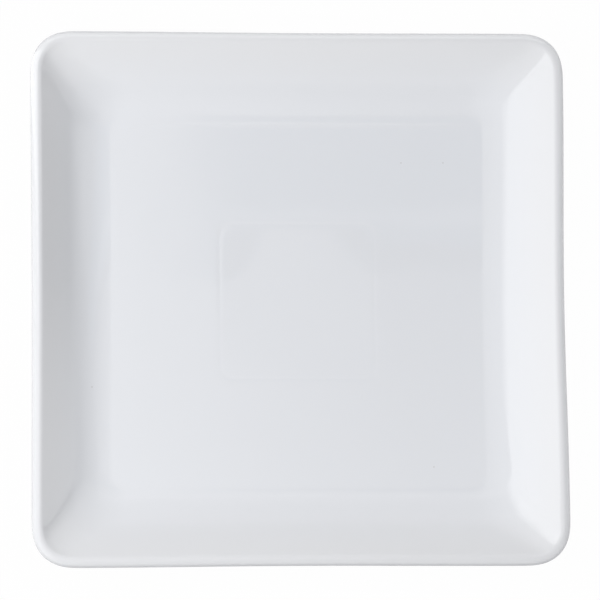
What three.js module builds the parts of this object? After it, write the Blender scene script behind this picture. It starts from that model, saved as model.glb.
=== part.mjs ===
// Square serving platter in white glazed stoneware. Millimetres, +Z up, origin in the middle of the foot.
// One fired clay body carries three coats of glaze: over the face and the outside, in the recess under the
// floor, and in the middle of the underside. The clay is bare only under the two rings that it was fired on.
import * as THREE from "three";
import { mergeVertices } from "three/addons/utils/BufferGeometryUtils.js";

// Outline of the finished platter
const platterWidth = 305; // side to side, measured at the ends of the sides
const platterHeight = 32; // table to the top of the lip
const rimCornerRadius = 22; // in plan, at the outer edge of the lip
const sideDrawIn = 0.7; // the middle of each side lies this far inside its ends, as firing leaves it

// Face: flat floor, cove, sloping wall and round lip
const floorWidth = 213; // the flat of the floor, edge to edge
const floorCornerRadius = 9; // in plan, at the edge of the flat
const coveRadius = 38; // between floor and wall, seen in section
const lipRadius = 4; // the lip is a full round

// Clay and glaze
const floorThickness = 5.8; // clay between the face and the underside
const glazeThickness = 0.4;
const bareHeight = 1; // the glaze stops this far above the bottom of a ring

// Underside: the foot that the platter stands on, and a smaller ring that held the floor up in the kiln
const recessDepth = 3.6; // table to the clay underside of the floor
const footInset = 8; // middle of the foot, inside the edge of the floor
const footRootWidth = 8.5;
const footLandWidth = 4.5; // the flat that touches the table
const supportWidth = 89; // middle to middle of the support ring
const supportCornerRadius = 8; // in plan, at the middle of the support ring
const supportRootWidth = 7.5;
const supportLandWidth = 4;
const supportClearance = 0.5; // the support ring stays this far off the table
const ringFillet = 1; // where a ring grows out of the floor
const ringEdgeRadius = 0.6; // at both edges of a ring's flat

// Facets: steps in plan, and the widest angle between facets in section
const cornerSteps = 8;
const sideSteps = 4;
const coveFacet = THREE.MathUtils.degToRad(7);
const lipFacet = THREE.MathUtils.degToRad(24);
const bellyFacet = THREE.MathUtils.degToRad(8);
const ringFacet = THREE.MathUtils.degToRad(36);

const rightAngle = Math.PI / 2;
const floorHalf = floorWidth / 2;
const rimHalf = platterWidth / 2;

// A section is a list of points on the clay, from the middle of the face, over the lip, to the middle of the
// underside. Each has its distance d from the platter's axis, its height z and its outward direction nd, nz.
const point = (d, z, angle) => ({ d, z, nd: Math.cos(angle), nz: Math.sin(angle) });

// Points on an arc, one of them at each stop: the outward angles that it starts from, passes and ends at.
// Bulge is 1 where the clay is inside the arc and -1 where the arc is a hollow.
function arc(centre, radius, stops, facet, bulge) {
  const angles = stops.slice(1).flatMap((stop, i) => {
    const sweep = stop - stops[i];
    const steps = Math.ceil(Math.abs(sweep) / facet);
    return Array.from({ length: steps }, (_, k) => stops[i] + (sweep * (k + 1)) / steps);
  });
  const reach = radius * bulge;
  return [stops[0], ...angles].map((angle) =>
    point(centre.d + reach * Math.cos(angle), centre.z + reach * Math.sin(angle), angle),
  );
}

// Face, lip and outside: two circles, the cove's and the lip's, joined by tangent lines above and below.
function faceAndOutside() {
  const clayFloor = recessDepth + floorThickness;
  const lip = { d: rimHalf - lipRadius, z: platterHeight - lipRadius };
  const acrossWall = lip.d - floorHalf;
  const upWall = lip.z - clayFloor - glazeThickness;
  // The cove is at most as large as the wall between floor and lip has room for.
  const wallRoom = (acrossWall ** 2 + upWall ** 2 - lipRadius ** 2) / (2 * (lipRadius + upWall));
  const cove = Math.min(coveRadius, 0.98 * wallRoom);
  const clayCove = cove + glazeThickness;
  const clayLip = lipRadius - glazeThickness;
  const clayBelly = clayCove + floorThickness; // the outside is round about the same centre as the cove
  const coveCentre = { d: floorHalf, z: clayFloor + clayCove };
  const apart = Math.hypot(acrossWall, coveCentre.z - lip.z);
  const fall = Math.atan2(coveCentre.z - lip.z, acrossWall);
  const innerSlope = Math.asin((clayCove + clayLip) / apart) - fall;
  const outerSlope = Math.asin((clayBelly - clayLip) / apart) - fall;
  const inside = rightAngle + innerSlope;
  const outside = outerSlope - rightAngle;
  return [
    point(0, clayFloor, rightAngle),
    ...arc(coveCentre, clayCove, [rightAngle, inside], coveFacet, -1),
    ...arc(lip, clayLip, [inside, rightAngle, 0, outside], lipFacet, 1),
    ...arc(coveCentre, clayBelly, [outside, -rightAngle], bellyFacet, 1),
  ];
}

// The outer half of a ring under the floor: the fillet at its root down to the glaze line, then bare clay.
function ringHalf(middle, bottom, rootWidth, landWidth) {
  const tall = recessDepth - bottom;
  const fillet = Math.min(ringFillet, 0.6 * (tall - bareHeight));
  const edge = Math.min(ringEdgeRadius, 0.6 * bareHeight);
  const spread = (rootWidth - landWidth) / 2;
  const draft = Math.atan2(spread, tall);
  const lean = (1 - Math.sin(draft)) / Math.cos(draft);
  const root = { d: middle + rootWidth / 2 + fillet * lean, z: recessDepth - fillet };
  const land = { d: middle + landWidth / 2 - edge * lean, z: bottom + edge };
  const glazeReach = middle + landWidth / 2 + (spread * bareHeight) / tall;
  const glazeLine = point(glazeReach, bottom + bareHeight, -draft);
  return {
    glazed: [...arc(root, fillet, [-rightAngle, -draft], ringFacet, -1), glazeLine],
    bare: [glazeLine, ...arc(land, edge, [-draft, -rightAngle], ringFacet, 1)],
  };
}

// The inner half of a ring: the outer half turned about the ring's middle, in the section's own order.
function mirrored(points, middle) {
  return points.map((p) => ({ d: 2 * middle - p.d, z: p.z, nd: -p.nd, nz: p.nz })).reverse();
}

const footMiddle = floorHalf - footInset;
const supportMiddle = supportWidth / 2;
const foot = ringHalf(footMiddle, 0, footRootWidth, footLandWidth);
const support = ringHalf(supportMiddle, supportClearance, supportRootWidth, supportLandWidth);

// The clay's section in five runs: three that carry glaze, and the two bare ring bottoms between them.
const faceRun = [...faceAndOutside(), ...foot.glazed];
const footBottom = [...foot.bare, ...mirrored(foot.bare, footMiddle)];
const recessRun = [...mirrored(foot.glazed, footMiddle), ...support.glazed];
const supportBottom = [...support.bare, ...mirrored(support.bare, supportMiddle)];
const centreRun = [...mirrored(support.glazed, supportMiddle), point(0, recessDepth, -rightAngle)];
const claySection = [faceRun, footBottom, recessRun, supportBottom, centreRun].flatMap((run, i) =>
  i ? run.slice(1) : run,
);

// The outside of a coat of glaze: the run moved out by the coat's thickness.
function coated(run) {
  return run.map((p) => ({ ...p, d: p.d + glazeThickness * p.nd, z: p.z + glazeThickness * p.nz }));
}

// The corners in plan grow rounder from the middle to the support ring, the edge of the floor, the inner edge
// of the lip and the rim. The lip keeps its width round a corner.
const lipWidth = 2 * lipRadius;
const cornerRadii = new THREE.LinearInterpolant(
  [0, supportMiddle, floorHalf, rimHalf - lipWidth, rimHalf],
  [0, supportCornerRadius, floorCornerRadius, rimCornerRadius - lipWidth, rimCornerRadius],
  1,
);

// One point of the section carried round the platter: a square with round corners and drawn-in sides.
function planRing({ d, z }) {
  const [cornerRadius] = cornerRadii.evaluate(d);
  const straight = d - cornerRadius;
  const drawIn = (sideDrawIn * d) / rimHalf;
  const quarter = [];
  for (let i = 0; i < sideSteps; i++) {
    const along = (2 * i) / sideSteps - 1;
    const dip = (drawIn * (1 + Math.cos(Math.PI * along))) / 2;
    quarter.push(new THREE.Vector3(d - dip, along * straight, z));
  }
  for (let i = 0; i < cornerSteps; i++) {
    const angle = (rightAngle * i) / cornerSteps;
    const x = straight + cornerRadius * Math.cos(angle);
    const y = straight + cornerRadius * Math.sin(angle);
    quarter.push(new THREE.Vector3(x, y, z));
  }
  const axis = new THREE.Vector3(0, 0, 1);
  const quarterTurned = (turn) => quarter.map((p) => p.clone().applyAxisAngle(axis, turn * rightAngle));
  return [0, 1, 2, 3].flatMap(quarterTurned);
}

// The triangles of a section carried round the platter, facing out of the clay, or turned to face it.
function skin(section, facingClay = false) {
  const rings = section.map(planRing);
  const corners = [];
  const add = (a, b, c) => corners.push(...(facingClay ? [a, c, b] : [a, b, c]));
  for (let k = 0; k + 1 < rings.length; k++) {
    const [here, next] = [rings[k], rings[k + 1]];
    here.forEach((_, j) => {
      const after = (j + 1) % here.length;
      if (section[k + 1].d > 0) add(here[j], next[j], next[after]);
      if (section[k].d > 0) add(here[j], next[after], here[after]);
    });
  }
  return corners;
}

// A coat of glaze on a run of the clay: its outside, its underside on the clay, and its edges.
function coat(run) {
  const outside = coated(run);
  const corners = [...skin(outside), ...skin(run, true)];
  if (run[0].d > 0) corners.push(...skin([run[0], outside[0]]));
  if (run.at(-1).d > 0) corners.push(...skin([outside.at(-1), run.at(-1)]));
  return corners;
}

function piece(name, corners, material) {
  const mesh = new THREE.Mesh(mergeVertices(new THREE.BufferGeometry().setFromPoints(corners)), material);
  mesh.geometry.computeVertexNormals();
  mesh.name = name;
  return mesh;
}

const bareClay = new THREE.MeshStandardMaterial({ color: 0xe4dfd5, roughness: 0.85, metalness: 0 });
const whiteGlaze = new THREE.MeshStandardMaterial({ color: 0xe2e5ea, roughness: 0.12, metalness: 0 });

const platter = new THREE.Group();
platter.add(
  piece("clay_body", skin(claySection), bareClay),
  piece("face_glaze", coat(faceRun), whiteGlaze),
  piece("recess_glaze", coat(recessRun), whiteGlaze),
  piece("centre_glaze", coat(centreRun), whiteGlaze),
);

export default platter;
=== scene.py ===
import math

import bpy
import numpy as np
from mathutils import Matrix, Quaternion, Vector


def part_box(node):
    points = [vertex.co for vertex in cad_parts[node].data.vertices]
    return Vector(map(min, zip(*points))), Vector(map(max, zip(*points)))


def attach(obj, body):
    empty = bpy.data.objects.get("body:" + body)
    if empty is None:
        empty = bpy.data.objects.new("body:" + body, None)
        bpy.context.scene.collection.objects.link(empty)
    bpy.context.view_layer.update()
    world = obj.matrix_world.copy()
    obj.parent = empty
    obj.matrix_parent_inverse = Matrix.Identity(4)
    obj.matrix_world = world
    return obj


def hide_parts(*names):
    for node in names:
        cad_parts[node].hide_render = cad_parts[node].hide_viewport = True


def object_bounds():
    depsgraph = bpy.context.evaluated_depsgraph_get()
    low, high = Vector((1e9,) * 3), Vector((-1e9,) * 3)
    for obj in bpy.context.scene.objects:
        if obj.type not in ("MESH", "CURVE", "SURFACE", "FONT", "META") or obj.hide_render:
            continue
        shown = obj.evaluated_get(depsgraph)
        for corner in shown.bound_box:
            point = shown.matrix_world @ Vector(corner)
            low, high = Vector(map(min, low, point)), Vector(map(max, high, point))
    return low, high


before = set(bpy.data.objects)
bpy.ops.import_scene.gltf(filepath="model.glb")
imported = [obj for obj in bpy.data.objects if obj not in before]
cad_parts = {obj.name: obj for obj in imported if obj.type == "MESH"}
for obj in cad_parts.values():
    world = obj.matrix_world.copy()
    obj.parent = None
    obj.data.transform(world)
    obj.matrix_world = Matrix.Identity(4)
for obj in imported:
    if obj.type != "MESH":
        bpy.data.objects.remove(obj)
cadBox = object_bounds()
print("frame loaded, box", [tuple(round(v, 4) for v in corner) for corner in cadBox])

mm = 0.001
rightAngle = math.pi / 2

# the platter's form, mostly as its solids have it
form = {
    "rimHalf": cadBox[1].x,
    "height": cadBox[1].z,
    "rimCorner": 22 * mm,
    "floorHalf": 106.5 * mm,
    "floorCorner": 9 * mm,
    "supportCorner": 8 * mm,
    "cornerPower": 2.5,  # 2 gives quarter circles, and more gives corners that begin more gently
    "wallCorner": 8 * mm,  # how much rounder the corners are halfway up the wall
    "sideDrawIn": (1.37 * mm, 0.39 * mm, 0.42 * mm, 0.58 * mm),  # at the middles, from the east side round
    "coveRadius": 38 * mm,
    "lipRadius": 4 * mm,
    "floorClay": 5.8 * mm,
    "coat": 0.4 * mm,  # thickness of the glaze
    "recess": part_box("recess_glaze")[1][2],  # table to the clay under the floor
    "bareHeight": 1 * mm,  # glaze stops this far above the bottom of a ring
    "ringFillet": 1 * mm,
    "ringEdge": 0.6 * mm,
}
footRing = {"middle": 98.5 * mm, "bottom": 0.0, "root": 8.5 * mm, "land": 4.5 * mm}
supportRing = {"middle": 44.5 * mm, "bottom": 0.5 * mm, "root": 7.5 * mm, "land": 4 * mm}

# how finely the surfaces are divided
fineness = {
    "side": 42,
    "corner": 20,
    "middle": 12,  # rows of the floor, closer over the support ring and near the edge
    "overRing": 24,
    "between": 16,
    "nearEdge": 22,
    "cove": 24,
    "wall": 12,
    "lip": 14,
    "belly": 18,
    "ringArc": 6,
    "glazeEnd": 5,
    "firstRow": 2 * mm,  # from the axis
    "closeRows": 5 * mm,  # on both sides of the support ring
}

# what the kiln did to the form
kiln = {
    "sag": 0.02 * mm,  # the floor sinks between the foot and the support ring
    "dome": 0.15 * mm,  # and inside the support ring
    "groove": 0.03 * mm,  # a faint sunken line over the support ring
    "grooveWidth": 1.1 * mm,
    "ridge": 0.05 * mm,  # a faint raised line along the floor's north edge
    "ridgeInset": 4.5 * mm,
    "ridgeWidth": 0.9 * mm,
    "waves": 11,  # slow unevenness of the whole form
    "waveLength": (34 * mm, 150 * mm),
    "waveSlope": 0.0009,
    "seed": 5,
}


# Rows of a section: distance from the axis, height, and the outward direction's two parts.
# An arc's rows lie on a circle at the angles of their outward directions. Bulge is 1 where
# the clay is inside the circle and -1 where the circle is a hollow.
def arcRows(centre, radius, stops, count, bulge):
    spans = [np.linspace(a, b, count, endpoint=False) for a, b in zip(stops, stops[1:])]
    angle = np.concatenate([*spans, stops[-1:]])
    way = np.stack([np.cos(angle), np.sin(angle)], axis=1)
    return np.hstack([np.array(centre) + bulge * radius * way, way])


# A straight stretch between two rows, without the rows themselves.
def straightRows(first, last, count):
    share = np.linspace(0, 1, count + 2)[1:-1, None]
    return first + (last - first) * share


# Face, lip and outside of the clay: the cove's circle and the lip's, joined by tangents above and below.
def faceRows():
    clayFloor = form["recess"] + form["floorClay"]
    lip = (form["rimHalf"] - form["lipRadius"], form["height"] - form["lipRadius"])
    cove = form["coveRadius"] + form["coat"]
    lipClay = form["lipRadius"] - form["coat"]
    belly = cove + form["floorClay"]
    centre = (form["floorHalf"], clayFloor + cove)
    across, drop = lip[0] - centre[0], centre[1] - lip[1]
    apart, fall = math.hypot(across, drop), math.atan2(drop, across)
    inside = rightAngle + math.asin((cove + lipClay) / apart) - fall
    outside = math.asin((belly - lipClay) / apart) - fall - rightAngle
    ring, close, edge = supportRing["middle"], fineness["closeRows"], form["floorHalf"]
    ends = [fineness["firstRow"], ring - close, ring + close, edge - 2 * close, edge]
    counts = [fineness[stretch] for stretch in ("middle", "overRing", "between", "nearEdge")]
    stretches = zip(ends, ends[1:], counts)
    reach = np.concatenate([np.linspace(*stretch, endpoint=False) for stretch in stretches])
    floor = np.stack([reach, np.full_like(reach, clayFloor), 0 * reach, 1 + 0 * reach], axis=1)
    coveArc = arcRows(centre, cove, [rightAngle, inside], fineness["cove"], -1)
    lipArc = arcRows(lip, lipClay, [inside, rightAngle, 0, outside], fineness["lip"], 1)
    bellyArc = arcRows(centre, belly, [outside, -rightAngle], fineness["belly"], 1)
    innerWall = straightRows(coveArc[-1], lipArc[0], fineness["wall"])
    outerWall = straightRows(lipArc[-1], bellyArc[0], fineness["wall"])
    return np.vstack([floor, coveArc, innerWall, lipArc, outerWall, bellyArc])


# The outer half of a ring under the floor: glazed rows down to the glaze line, then bare rows to its flat.
def ringRows(ring):
    tall = form["recess"] - ring["bottom"]
    spread = (ring["root"] - ring["land"]) / 2
    draft = math.atan2(spread, tall)
    lean = (1 - math.sin(draft)) / math.cos(draft)
    rootReach, landReach = ring["middle"] + ring["root"] / 2, ring["middle"] + ring["land"] / 2
    root = (rootReach + form["ringFillet"] * lean, form["recess"] - form["ringFillet"])
    land = (landReach - form["ringEdge"] * lean, ring["bottom"] + form["ringEdge"])
    reach = landReach + spread * form["bareHeight"] / tall
    line = np.array([[reach, ring["bottom"] + form["bareHeight"], math.cos(draft), -math.sin(draft)]])
    fillet = arcRows(root, form["ringFillet"], [-rightAngle, -draft], fineness["ringArc"], -1)
    edge = arcRows(land, form["ringEdge"], [-draft, -rightAngle], fineness["ringArc"], 1)
    return np.vstack([fillet, line]), np.vstack([line, edge])


# The same rows turned about a ring's middle, in the section's own order.
def mirrored(rows, middle):
    return (rows * [-1, 1, -1, 1] + [2 * middle, 0, 0, 0])[::-1]


# Height that firing takes from the face along its section: a squared sine of sag between the rings, and a
# bell-shaped groove over the support ring.
def fired(rows):
    d = rows[:, 0]
    ring, foot = supportRing["middle"], footRing["middle"]
    between = np.clip((d - ring) / (foot - ring), 0, 1)
    groove = kiln["groove"] * np.exp(-(((d - ring) / kiln["grooveWidth"]) ** 2))
    sunk = groove + kiln["sag"] * np.sin(math.pi * between) ** 2
    rows = rows.copy()
    rows[:, 1] -= np.where(rows[:, 3] > 0.5, sunk, 0)
    return rows


# Height that firing takes from the face by place: a bowl inside the support ring, the product of two
# parabolas, less a bell-shaped ridge.
def sunken(x, y):
    ring, edge = supportRing["middle"], form["floorHalf"]
    bowl = kiln["dome"] * np.clip(1 - (x / ring) ** 2, 0, 1) * np.clip(1 - (y / ring) ** 2, 0, 1)
    across = (y - edge + kiln["ridgeInset"]) / kiln["ridgeWidth"]
    return bowl - kiln["ridge"] * np.exp(-(across ** 2)) * np.clip(1 - (x / edge) ** 8, 0, 1)


# Slow unevenness of a hand-finished form: a sum of sines over the plan, all equally steep.
draw = np.random.default_rng(kiln["seed"])
waveLength = np.geomspace(*kiln["waveLength"], kiln["waves"])
waveWay = draw.uniform(0, math.pi, kiln["waves"])
wavePhase = draw.uniform(0, 2 * math.pi, kiln["waves"])
waveNumber = 2 * math.pi / waveLength


def uneven(x, y):
    along = x[..., None] * np.cos(waveWay) + y[..., None] * np.sin(waveWay)
    height = kiln["waveSlope"] / waveNumber / math.sqrt(kiln["waves"])
    return (height * np.sin(waveNumber * along + wavePhase)).sum(axis=-1)


# A section carried round the platter. Each row becomes a ring: a square whose sides dip by half a cosine and
# whose corners are rounder towards the rim and, by a squared sine, halfway up the wall. A corner is a quarter
# of a superellipse, whose two coordinates raised to a power add up to one. It is widened so that its middle
# lies where a quarter circle's would. The face sinks, and every point then moves out by the unevenness.
def carried(rows):
    d, z = rows[:, :1], rows[:, 1]
    lipWidth = 2 * form["lipRadius"]  # the lip keeps its width round a corner
    stops = [0, supportRing["middle"], form["floorHalf"], form["rimHalf"] - lipWidth, form["rimHalf"]]
    radii = [0, form["supportCorner"], form["floorCorner"], form["rimCorner"] - lipWidth, form["rimCorner"]]
    upWall = np.clip((d - stops[2]) / (stops[3] - stops[2]), 0, 1)
    corner = np.interp(d, stops, radii) + form["wallCorner"] * np.sin(math.pi * upWall) ** 2
    power = form["cornerPower"]
    corner = corner * (1 - 0.5 ** 0.5) / (1 - 0.5 ** (1 / power))
    straight = d - corner
    along = np.linspace(-1, 1, fineness["side"], endpoint=False)
    turn = np.linspace(0, rightAngle, fineness["corner"], endpoint=False)
    dip = d / form["rimHalf"] * (1 + np.cos(math.pi * along)) / 2
    bendFacing = np.stack([np.cos(turn), np.sin(turn)], axis=-1)
    bend = bendFacing ** (1 / (power - 1))
    bend /= (bend ** power).sum(axis=-1, keepdims=True) ** (1 / power)
    bend = straight[..., None] + corner[..., None] * bend
    facing = np.concatenate([np.tile([1.0, 0.0], (along.size, 1)), bendFacing])
    turns = [np.array([[c, s], [-s, c]]) for c, s in ((1, 0), (0, 1), (-1, 0), (0, -1))]
    sides = [np.stack([d - drawIn * dip, straight * along], axis=-1) for drawIn in form["sideDrawIn"]]
    plan = np.concatenate([np.concatenate([side, bend], axis=1) @ t for side, t in zip(sides, turns)], axis=1)
    out = np.concatenate([facing @ t for t in turns], axis=0)
    points = np.concatenate([plan, np.broadcast_to(z[:, None, None], (*plan.shape[:2], 1))], axis=-1)
    points[..., 2] -= np.where(rows[:, 3, None] > 0.5, sunken(points[..., 0], points[..., 1]), 0)
    way = np.concatenate([
        rows[:, 2, None, None] * out[None],
        np.broadcast_to(rows[:, 3, None, None], (*plan.shape[:2], 1)),
    ], axis=-1)
    return points + way * uneven(points[..., 0], points[..., 1])[..., None]


# The outside of a coat of glaze on some rows of the clay.
def coatRows(rows):
    out = rows.copy()
    out[:, :2] += form["coat"] * rows[:, 2:]
    return out


# Its rounded end, a half circle from its outside to the clay.
def roundedEnd(row, forward):
    turn = np.linspace(0, math.pi, fineness["glazeEnd"] + 2)[1:-1, None]
    middle = row[:2] + form["coat"] / 2 * row[2:]
    onward = forward * np.array([row[3], -row[2]])
    way = np.cos(turn) * row[2:] + np.sin(turn) * onward
    return np.hstack([middle + form["coat"] / 2 * way, np.repeat(row[None, 2:], len(turn), axis=0)])


# Rings joined by quads into one closed skin: end to end where it closes on itself, and otherwise with a point
# in the middle of its first and of its last ring.
def closedSkin(name, rings, loop=False):
    count, around = rings.shape[:2]
    number = np.arange(count * around).reshape(count, around)
    here = number if loop else number[:-1]
    there = np.roll(number, -1, axis=0) if loop else number[1:]
    quads = np.stack([here, there, np.roll(there, -1, axis=1), np.roll(here, -1, axis=1)], axis=-1)
    points = rings.reshape(-1, 3)
    faces = quads.reshape(-1, 4).tolist()
    if not loop:
        points = np.vstack([points, rings[0].mean(axis=0), rings[-1].mean(axis=0)])
        first, last = number[0], number[-1]
        start, end = np.full(around, count * around), np.full(around, count * around + 1)
        faces += np.stack([start, first, np.roll(first, -1)], axis=-1).tolist()
        faces += np.stack([last, end, np.roll(last, -1)], axis=-1).tolist()
    mesh = bpy.data.meshes.new(name)
    mesh.from_pydata(points.tolist(), [], faces)
    mesh.shade_smooth()
    mesh.set_sharp_from_angle(angle=math.radians(60))
    piece = bpy.data.objects.new(name, mesh)
    bpy.context.scene.collection.objects.link(piece)
    return piece


# How thick the glaze ran: 1 where it pooled low on the form, 0 on top of the lip.
def markPooling(piece):
    mesh = piece.data
    place = np.empty(len(mesh.vertices) * 3, dtype=np.float32)
    mesh.vertices.foreach_get("co", place)
    low = form["recess"] + form["floorClay"]
    pool = np.clip((form["height"] - place[2::3]) / (form["height"] - low), 0, 1)
    mesh.attributes.new("pool", "FLOAT", "POINT").data.foreach_set("value", pool.astype(np.float32))


footGlazed, footBare = ringRows(footRing)
supportGlazed, supportBare = ringRows(supportRing)
faceRun = np.vstack([faceRows(), footGlazed])
recessRun = np.vstack([mirrored(footGlazed, footRing["middle"]), supportGlazed])
centreEnd = np.array([[fineness["firstRow"], form["recess"], 0, -1]])
centreRun = np.vstack([mirrored(supportGlazed, supportRing["middle"]), centreEnd])
clayRun = np.vstack([
    faceRun,
    footBare[1:],
    mirrored(footBare, footRing["middle"])[:-1],
    recessRun,
    supportBare[1:],
    mirrored(supportBare, supportRing["middle"])[:-1],
    centreRun,
])

clayBody = closedSkin("clayBody", carried(fired(clayRun)))
faceCoat = np.vstack([coatRows(faceRun), roundedEnd(faceRun[-1], 1), faceRun[::-1]])
faceGlaze = closedSkin("faceGlaze", carried(fired(faceCoat)))
recessCoat = np.vstack([
    coatRows(recessRun),
    roundedEnd(recessRun[-1], 1),
    recessRun[::-1],
    roundedEnd(recessRun[0], -1)[::-1],
])
recessGlaze = closedSkin("recessGlaze", carried(recessCoat), loop=True)
centreCoat = np.vstack([centreRun[::-1], roundedEnd(centreRun[0], -1)[::-1], coatRows(centreRun)])
centreGlaze = closedSkin("centreGlaze", carried(centreCoat))
made = (clayBody, faceGlaze, recessGlaze, centreGlaze)
print("surfaces made:", {piece.name: len(piece.data.polygons) for piece in made})


# A shader socket that adds a Math node when it is used in a sum.
class Wire:
    def __init__(self, bench, socket):
        self.bench = bench
        self.socket = socket

    def math(self, operation, first, second):
        return self.bench.add("ShaderNodeMath", {"operation": operation}, {0: first, 1: second})

    def __add__(self, other):
        return self.math("ADD", self, other)

    def __radd__(self, other):
        return self.math("ADD", other, self)

    def __sub__(self, other):
        return self.math("SUBTRACT", self, other)

    def __rsub__(self, other):
        return self.math("SUBTRACT", other, self)

    def __mul__(self, other):
        return self.math("MULTIPLY", self, other)

    def __truediv__(self, other):
        return self.math("DIVIDE", self, other)


# A node tree in the making: every node comes from add, by type, settings and inputs.
class Bench:
    def __init__(self, tree):
        self.tree = tree
        tree.nodes.clear()

    def add(self, kind, settings=None, inputs=None, output=0):
        node = self.tree.nodes.new(kind)
        for key, value in (settings or {}).items():
            setattr(node, key, value)
        for key, value in (inputs or {}).items():
            if isinstance(value, Wire):
                self.tree.links.new(value.socket, node.inputs[key])
            else:
                node.inputs[key].default_value = value
        return Wire(self, node.outputs[output]) if node.outputs else node

    def larger(self, first, second):
        return first.math("MAXIMUM", first, second)

    def size(self, value):
        return value.math("ABSOLUTE", value, 0)

    def mixed(self, share, first, second):
        return self.add("ShaderNodeMix", {"data_type": "RGBA"}, {0: share, 6: first, 7: second}, 2)

    def noise(self, place, scale, detail=2.0, roughness=0.5):
        inputs = {"Vector": place, "Scale": scale, "Detail": detail, "Roughness": roughness}
        return self.add("ShaderNodeTexNoise", {}, inputs)

    def smooth(self, value, low, high):
        inputs = {"Value": value, "From Min": low, "From Max": high}
        return self.add("ShaderNodeMapRange", {"interpolation_type": "SMOOTHSTEP"}, inputs)

    # 1 past an edge, given as its place and its softness, and 0 before it
    def past(self, value, edge):
        return self.smooth(value, edge[0] - edge[1], edge[0] + edge[1])

    def before(self, value, edge):
        return 1 - self.past(value, edge)


def newFinish(name):
    material = bpy.data.materials.new(name)
    material.use_nodes = True
    return material, Bench(material.node_tree)


glaze = {
    "thin": (0.702, 0.705, 0.7125, 1),  # over the lip and high on the walls
    "pooled": (0.700, 0.7105, 0.7295, 1),  # bluer where it is thick
    "speck": (0.30, 0.27, 0.24, 1),
    "poolShare": 0.9,  # how much the tone follows the pooling, and how much a slow cloud
    "cloudShare": 0.2,
    "cloudScale": 14.0,
    "roughness": 0.014,
    "roughnessRange": 0.006,
    "roughnessScale": 60.0,
    "peel": 0.6,  # a slight orange peel
    "peelScale": 260.0,
    "peelStrength": 0.05,
    "peelDistance": 0.04 * mm,
    "specks": ((60.6, 80.2), (84.9, 80.3), (-117.6, -49.0), (77.3, -94.9)),  # millimetres from the middle
    "speckRadius": 0.5 * mm,
    "speckTone": 0.5,
    "speckRoughness": 0.3,
    "speckDepth": 2.0,
}


def glazeFinish():
    material, bench = newFinish("whiteGlaze")
    place = bench.add("ShaderNodeTexCoord", {}, {}, "Object")
    pool = bench.add("ShaderNodeAttribute", {"attribute_name": "pool"}, {}, "Fac")
    cloud = bench.noise(place, glaze["cloudScale"])
    thick = pool * glaze["poolShare"] + (cloud - 0.5) * glaze["cloudShare"]
    colour = bench.mixed(bench.smooth(thick, 0.0, 1.0), glaze["thin"], glaze["pooled"])
    flat = bench.add("ShaderNodeVectorMath", {"operation": "MULTIPLY"}, {0: place, 1: (1, 1, 0)})
    speck = 0.0
    speckEdge = (glaze["speckRadius"] * 0.7, glaze["speckRadius"] * 0.3)
    for x, y in glaze["specks"]:
        spot = {0: flat, 1: (x * mm, y * mm, 0)}
        distance = bench.add("ShaderNodeVectorMath", {"operation": "DISTANCE"}, spot, "Value")
        speck = speck + bench.before(distance, speckEdge)
    colour = bench.mixed(speck * glaze["speckTone"], colour, glaze["speck"])
    rough = (bench.noise(place, glaze["roughnessScale"]) - 0.5) * glaze["roughnessRange"]
    roughness = glaze["roughness"] + rough + speck * glaze["speckRoughness"]
    peel = bench.noise(place, glaze["peelScale"], 1.0) * glaze["peel"] - speck * glaze["speckDepth"]
    bump = bench.add("ShaderNodeBump", {}, {
        "Height": peel,
        "Strength": glaze["peelStrength"],
        "Distance": glaze["peelDistance"],
    })
    shader = bench.add("ShaderNodeBsdfPrincipled", {}, {
        "Base Color": colour,
        "Roughness": roughness,
        "Normal": bump,
        "IOR": 1.5,
    })
    bench.add("ShaderNodeOutputMaterial", {}, {"Surface": shader})
    return material


clay = {
    "pale": (0.74, 0.70, 0.63, 1),
    "dark": (0.52, 0.47, 0.40, 1),
    "rubbed": (0.58, 0.56, 0.53, 1),  # grey from standing on tables
    "grainScale": 1400.0,
    "grainEdge": (0.56, 0.78),
    "grainStrength": 0.35,
    "grainDistance": 0.1 * mm,
    "patchScale": 45.0,
    "patchEdge": (0.5, 0.75),
    "patchTone": 0.5,
    "roughness": 0.78,
    "roughnessRange": 0.2,
}


def clayFinish():
    material, bench = newFinish("bareClay")
    place = bench.add("ShaderNodeTexCoord", {}, {}, "Object")
    grain = bench.noise(place, clay["grainScale"], 3.0, 0.6)
    patch = bench.noise(place, clay["patchScale"], 3.0)
    rubbed = bench.smooth(patch, *clay["patchEdge"]) * clay["patchTone"]
    colour = bench.mixed(bench.smooth(grain, *clay["grainEdge"]), clay["pale"], clay["dark"])
    colour = bench.mixed(rubbed, colour, clay["rubbed"])
    bump = bench.add("ShaderNodeBump", {}, {
        "Height": grain,
        "Strength": clay["grainStrength"],
        "Distance": clay["grainDistance"],
    })
    shader = bench.add("ShaderNodeBsdfPrincipled", {}, {
        "Base Color": colour,
        "Roughness": clay["roughness"] + (patch - 0.5) * clay["roughnessRange"],
        "Normal": bump,
    })
    bench.add("ShaderNodeOutputMaterial", {}, {"Surface": shader})
    return material


whiteGlaze, bareClay = glazeFinish(), clayFinish()
dressed = {
    faceGlaze: ("face_glaze", "white_glaze", whiteGlaze),
    recessGlaze: ("recess_glaze", "white_glaze", whiteGlaze),
    centreGlaze: ("centre_glaze", "white_glaze", whiteGlaze),
    clayBody: ("clay_body", "bare_clay", bareClay),
}
for piece, (node, slot, material) in dressed.items():
    markPooling(piece)
    piece.data.materials.append(material)
    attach(piece, "root")
    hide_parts(node)
print("finishes on", len(dressed), "pieces")

table = {
    "half": 30.0,
    "drop": 0.2 * mm,
    "colour": (0.6, 0.6, 0.6, 1),
    "glow": 0.985,  # how far it is white by itself when seen, and in a reflection
    "glowMirrored": 0.25,
}


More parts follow.
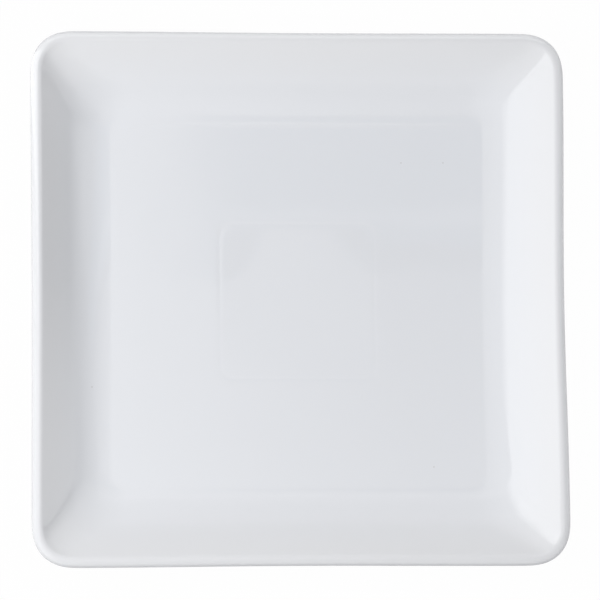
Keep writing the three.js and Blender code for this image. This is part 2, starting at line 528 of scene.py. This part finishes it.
def rayOf(bench, kind):
    return bench.add("ShaderNodeLightPath", {}, {}, f"Is {kind} Ray")


# A wide white table, clear from below and open inside the foot, so that light reaches the underside. Seen
# directly it is nearly white by itself, with a little of its shadow left.
def makeTable():
    mesh = bpy.data.meshes.new("whiteTable")
    corners = ((-1, -1), (1, -1), (1, 1), (-1, 1))
    reaches = (table["half"], footRing["middle"] + footRing["land"] / 2)
    points = [(reach * x, reach * y, -table["drop"]) for reach in reaches for x, y in corners]
    mesh.from_pydata(points, [], [(i, (i + 1) % 4, (i + 1) % 4 + 4, i + 4) for i in range(4)])
    floor = bpy.data.objects.new("whiteTable", mesh)
    bpy.context.scene.collection.objects.link(floor)
    material, bench = newFinish("tableWhite")
    direct = bench.larger(rayOf(bench, "Camera"), rayOf(bench, "Transmission"))
    glow = bench.larger(direct * table["glow"], rayOf(bench, "Glossy") * table["glowMirrored"])
    lit = bench.add("ShaderNodeBsdfDiffuse", {}, {"Color": table["colour"]})
    white = bench.add("ShaderNodeEmission", {}, {"Color": (1, 1, 1, 1), "Strength": 1.0})
    surface = bench.add("ShaderNodeMixShader", {}, {0: glow, 1: lit, 2: white})
    below = bench.add("ShaderNodeNewGeometry", {}, {}, "Backfacing")
    clear = bench.add("ShaderNodeBsdfTransparent")
    surface = bench.add("ShaderNodeMixShader", {}, {0: below, 1: surface, 2: clear})
    bench.add("ShaderNodeOutputMaterial", {}, {"Surface": surface})
    mesh.materials.append(material)


makeTable()
print("table made")

# light from each side, and what the glaze mirrors: layers laid over the backdrop in turn
studio = {
    "tint": (0.982, 0.994, 1.035),
    "all": 0.076,  # what comes from everywhere, and more from some sides
    "west": 0.27,
    "east": 0.0,
    "south": 0.185,
    "north": 0.14,
    "above": 0.437,
    "below": 0.8,
    "backdrop": (1.12, 1.12, 1.12),
    "shade": (0.76, 0.76, 0.76),  # the ceiling to the east, dimmer beside the camera
    "dim": (0.26, 0.25, 0.26),
    "dimWest": (0.092, 0.045),  # edges as slopes from straight up, and how soft they are
    "dimSouth": (0.085, 0.045),
    "dimNorth": (0.2, 0.03),
    "ceiling": (0.1, 0.2, 0.3),  # a dark patch of ceiling, mirrored by the north half of the floor
    "ceilingWest": (0.0724, 0.014),
    "ceilingSouth": (0.1217, 0.001),
    "ceilingNorth": (0.166, 0.004),
    "bar": (0.0, 0.0, 0.0),  # a darker bar along the patch's south edge, and a lighter slit north of it
    "barWest": (0.078, 0.004),
    "barNorth": (0.1285, 0.0012),
    "slit": (0.5, 0.58, 0.68),
    "slitSouth": (0.1335, 0.001),
    "slitNorth": (0.1375, 0.001),
    "gap": (1.8, 1.8, 1.8),  # a bright line, and a dim stretch north of it
    "gapSouth": (0.335, 0.006),
    "gapNorth": (0.375, 0.006),
    "beyond": (1.0, 1.0, 1.0),
    "beyondNorth": (1.0, 0.4),
    "gapReach": (0.6, 0.1),
    "sides": (1.6, 1.6, 1.6),  # bright panels low to the north and the south
    "sidesTurn": (0.4, 0.12),  # from the line between east and west
    "sidesRise": (0.9, 0.5),
    "flag": (0.05, 0.05, 0.05),  # a dark side to the east, with a white card standing in it
    "flagRise": (3.0, 0.8),
    "flagNorth": (0.163, 0.018),
    "flagSouth": (-0.15, 0.3),
    "card": (1.45, 1.45, 1.45),
    "cardNorth": (0.1, 0.03),
    "cardSouth": (0.03, 0.03),
    "cardRise": (0.38, 0.2),
}
lowSize = (0.9, 0.028)  # strips low on all four sides, for the outside
lamps = {
    "softbox": {
        "place": (-0.16, 0.052, 0.2245),
        "aim": (0, 0.052, 0.2245),
        "size": (0.304, 0.341),
        "lean": 18,  # degrees
        "radiance": 2.0,
    },
    "softboxTop": {
        "place": (-0.16, 0.1186, 0.4295),
        "aim": (0, 0.1186, 0.4295),
        "size": (0.304, 0.09),
        "lean": 18,
        "radiance": 1.0,
    },
    "key": {"place": (-0.635, -0.1, 0.786), "aim": (0, 0, 0.02), "size": (0.8, 0.8), "radiance": 3.3},
    "fill": {"place": (0.45, 0, 0.80), "aim": (0, 0, 0.02), "size": (0.7, 0.7), "radiance": 1.0},
    "lowEast": {"place": (0.5, 0, 0.016), "aim": (0, 0, 0.016), "size": lowSize, "radiance": 6.0},
    "lowWest": {"place": (-0.5, 0, 0.016), "aim": (0, 0, 0.016), "size": lowSize, "radiance": 4.0},
    "lowNorth": {"place": (0, 0.5, 0.016), "aim": (0, 0, 0.016), "size": lowSize, "radiance": 8.0},
    "lowSouth": {"place": (0, -0.5, 0.016), "aim": (0, 0, 0.016), "size": lowSize, "radiance": 1.0},
    "stripNorth": {
        "place": (0, 0.157, 0.0445),
        "aim": (0, 0.1, 0.0445),
        "size": (0.3, 0.015),
        "radiance": 1.3,
    },
}
mirroredLamps = ["softbox", "softboxTop", "stripNorth"]  # these only show in the glaze
least = 0.01  # keeps a direction's ratios finite


def makeStudio():
    world = bpy.data.worlds.new("studio")
    bpy.context.scene.world = world
    world.use_nodes = True
    bench = Bench(world.node_tree)
    way = bench.add("ShaderNodeTexCoord", {}, {}, "Generated")
    part = [bench.add("ShaderNodeSeparateXYZ", {}, {0: way}, axis) for axis in "XYZ"]
    amount = studio["all"]
    for axis, pair in enumerate((("east", "west"), ("north", "south"), ("above", "below"))):
        for side, sign in zip(pair, (1, -1)):
            amount = amount + bench.larger(part[axis] * sign, 0) * studio[side]
    scaled = {0: studio["tint"], "Scale": amount}
    ambient = bench.add("ShaderNodeVectorMath", {"operation": "SCALE"}, scaled)
    up = bench.larger(part[2], least)
    east, north = part[0] / up, part[1] / up
    shade = bench.past(east, studio["dimWest"])
    dim = shade * bench.past(north, studio["dimSouth"]) * bench.before(north, studio["dimNorth"])
    patch = bench.past(east, studio["ceilingWest"]) * bench.past(north, studio["ceilingSouth"])
    patch = patch * bench.before(north, studio["ceilingNorth"])
    bar = patch * bench.past(east, studio["barWest"]) * bench.before(north, studio["barNorth"])
    slit = patch * bench.past(north, studio["slitSouth"]) * bench.before(north, studio["slitNorth"])
    beside = bench.before(bench.size(east), studio["gapReach"])
    gap = beside * bench.past(north, studio["gapSouth"]) * bench.before(north, studio["gapNorth"])
    beyond = beside * bench.past(north, studio["gapNorth"]) * bench.before(north, studio["beyondNorth"])
    eastward = bench.larger(part[0], least)
    sideways, rise = part[1] / eastward, part[2] / eastward
    flag = bench.past(sideways, studio["flagSouth"])
    flag = flag * bench.before(sideways, studio["flagNorth"]) * bench.before(rise, studio["flagRise"])
    card = flag * bench.before(sideways, studio["cardNorth"]) * bench.past(sideways, studio["cardSouth"])
    card = card * bench.before(rise, studio["cardRise"])
    turned = bench.size(part[1] / bench.larger(bench.size(part[0]), least))
    level = part[0].math("POWER", part[0] * part[0] + part[1] * part[1], 0.5)
    steep = part[2] / bench.larger(level, least)
    sides = bench.past(turned, studio["sidesTurn"]) * bench.before(steep, studio["sidesRise"])
    inGlaze = bench.larger(rayOf(bench, "Glossy"), rayOf(bench, "Transmission"))
    seen = bench.larger(rayOf(bench, "Camera"), inGlaze)
    backdrop = (*studio["backdrop"], 1)
    layers = {
        "shade": shade,
        "dim": dim,
        "ceiling": patch,
        "bar": bar,
        "slit": slit,
        "beyond": beyond,
        "gap": gap,
        "sides": sides,
        "flag": flag,
        "card": card,
    }
    for name, share in layers.items():
        backdrop = bench.mixed(share, backdrop, (*studio[name], 1))
    colour = bench.mixed(seen, ambient, backdrop)
    light = bench.add("ShaderNodeBackground", {}, {"Color": colour, "Strength": 1.0})
    bench.add("ShaderNodeOutputWorld", {}, {"Surface": light})

    for name, values in lamps.items():
        lamp = bpy.data.lights.new(name, "AREA")
        lamp.shape = "RECTANGLE"
        lamp.size, lamp.size_y = values["size"]
        lamp.energy = values["radiance"] * math.pi * lamp.size * lamp.size_y
        holder = bpy.data.objects.new(name, lamp)
        bpy.context.scene.collection.objects.link(holder)
        holder.location = values["place"]
        turn = (Vector(values["aim"]) - holder.location).to_track_quat("-Z", "Y")
        turn = turn @ Quaternion((0, 0, 1), math.radians(values.get("lean", 0)))
        holder.rotation_euler = turn.to_euler()
        holder.visible_camera = False
        holder.visible_glossy = name in mirroredLamps
        holder.visible_diffuse = name not in mirroredLamps


makeStudio()
print("lamps made:", len(lamps))

view = {
    "west": 5.38,  # degrees that the camera stands off from straight above
    "south": 6.59,
    "roll": -0.58,
    "aim": (-0.13 * mm, -1.13 * mm, 27.4 * mm),
    "distance": 2.5,
    "across": 340.32 * mm,  # width of the frame at the aim
}


def makeCamera():
    slope = Vector((-math.tan(math.radians(view["west"])), -math.tan(math.radians(view["south"])), 1))
    back = slope.normalized()
    right = Vector((0, 1, 0)).cross(back).normalized()
    up = back.cross(right)
    lean = math.radians(view["roll"])
    across = right * math.cos(lean) + up * math.sin(lean)
    upward = up * math.cos(lean) - right * math.sin(lean)
    turn = Matrix((across, upward, back)).transposed().to_4x4()
    data = bpy.data.cameras.new("above")
    data.sensor_width = 36.0
    data.lens = data.sensor_width * view["distance"] / view["across"]
    data.clip_end = 100.0
    camera = bpy.data.objects.new("above", data)
    bpy.context.scene.collection.objects.link(camera)
    camera.matrix_world = Matrix.Translation(Vector(view["aim"]) + back * view["distance"]) @ turn
    bpy.context.scene.camera = camera


makeCamera()
bpy.context.scene.view_settings.view_transform = "Standard"
print("camera placed")
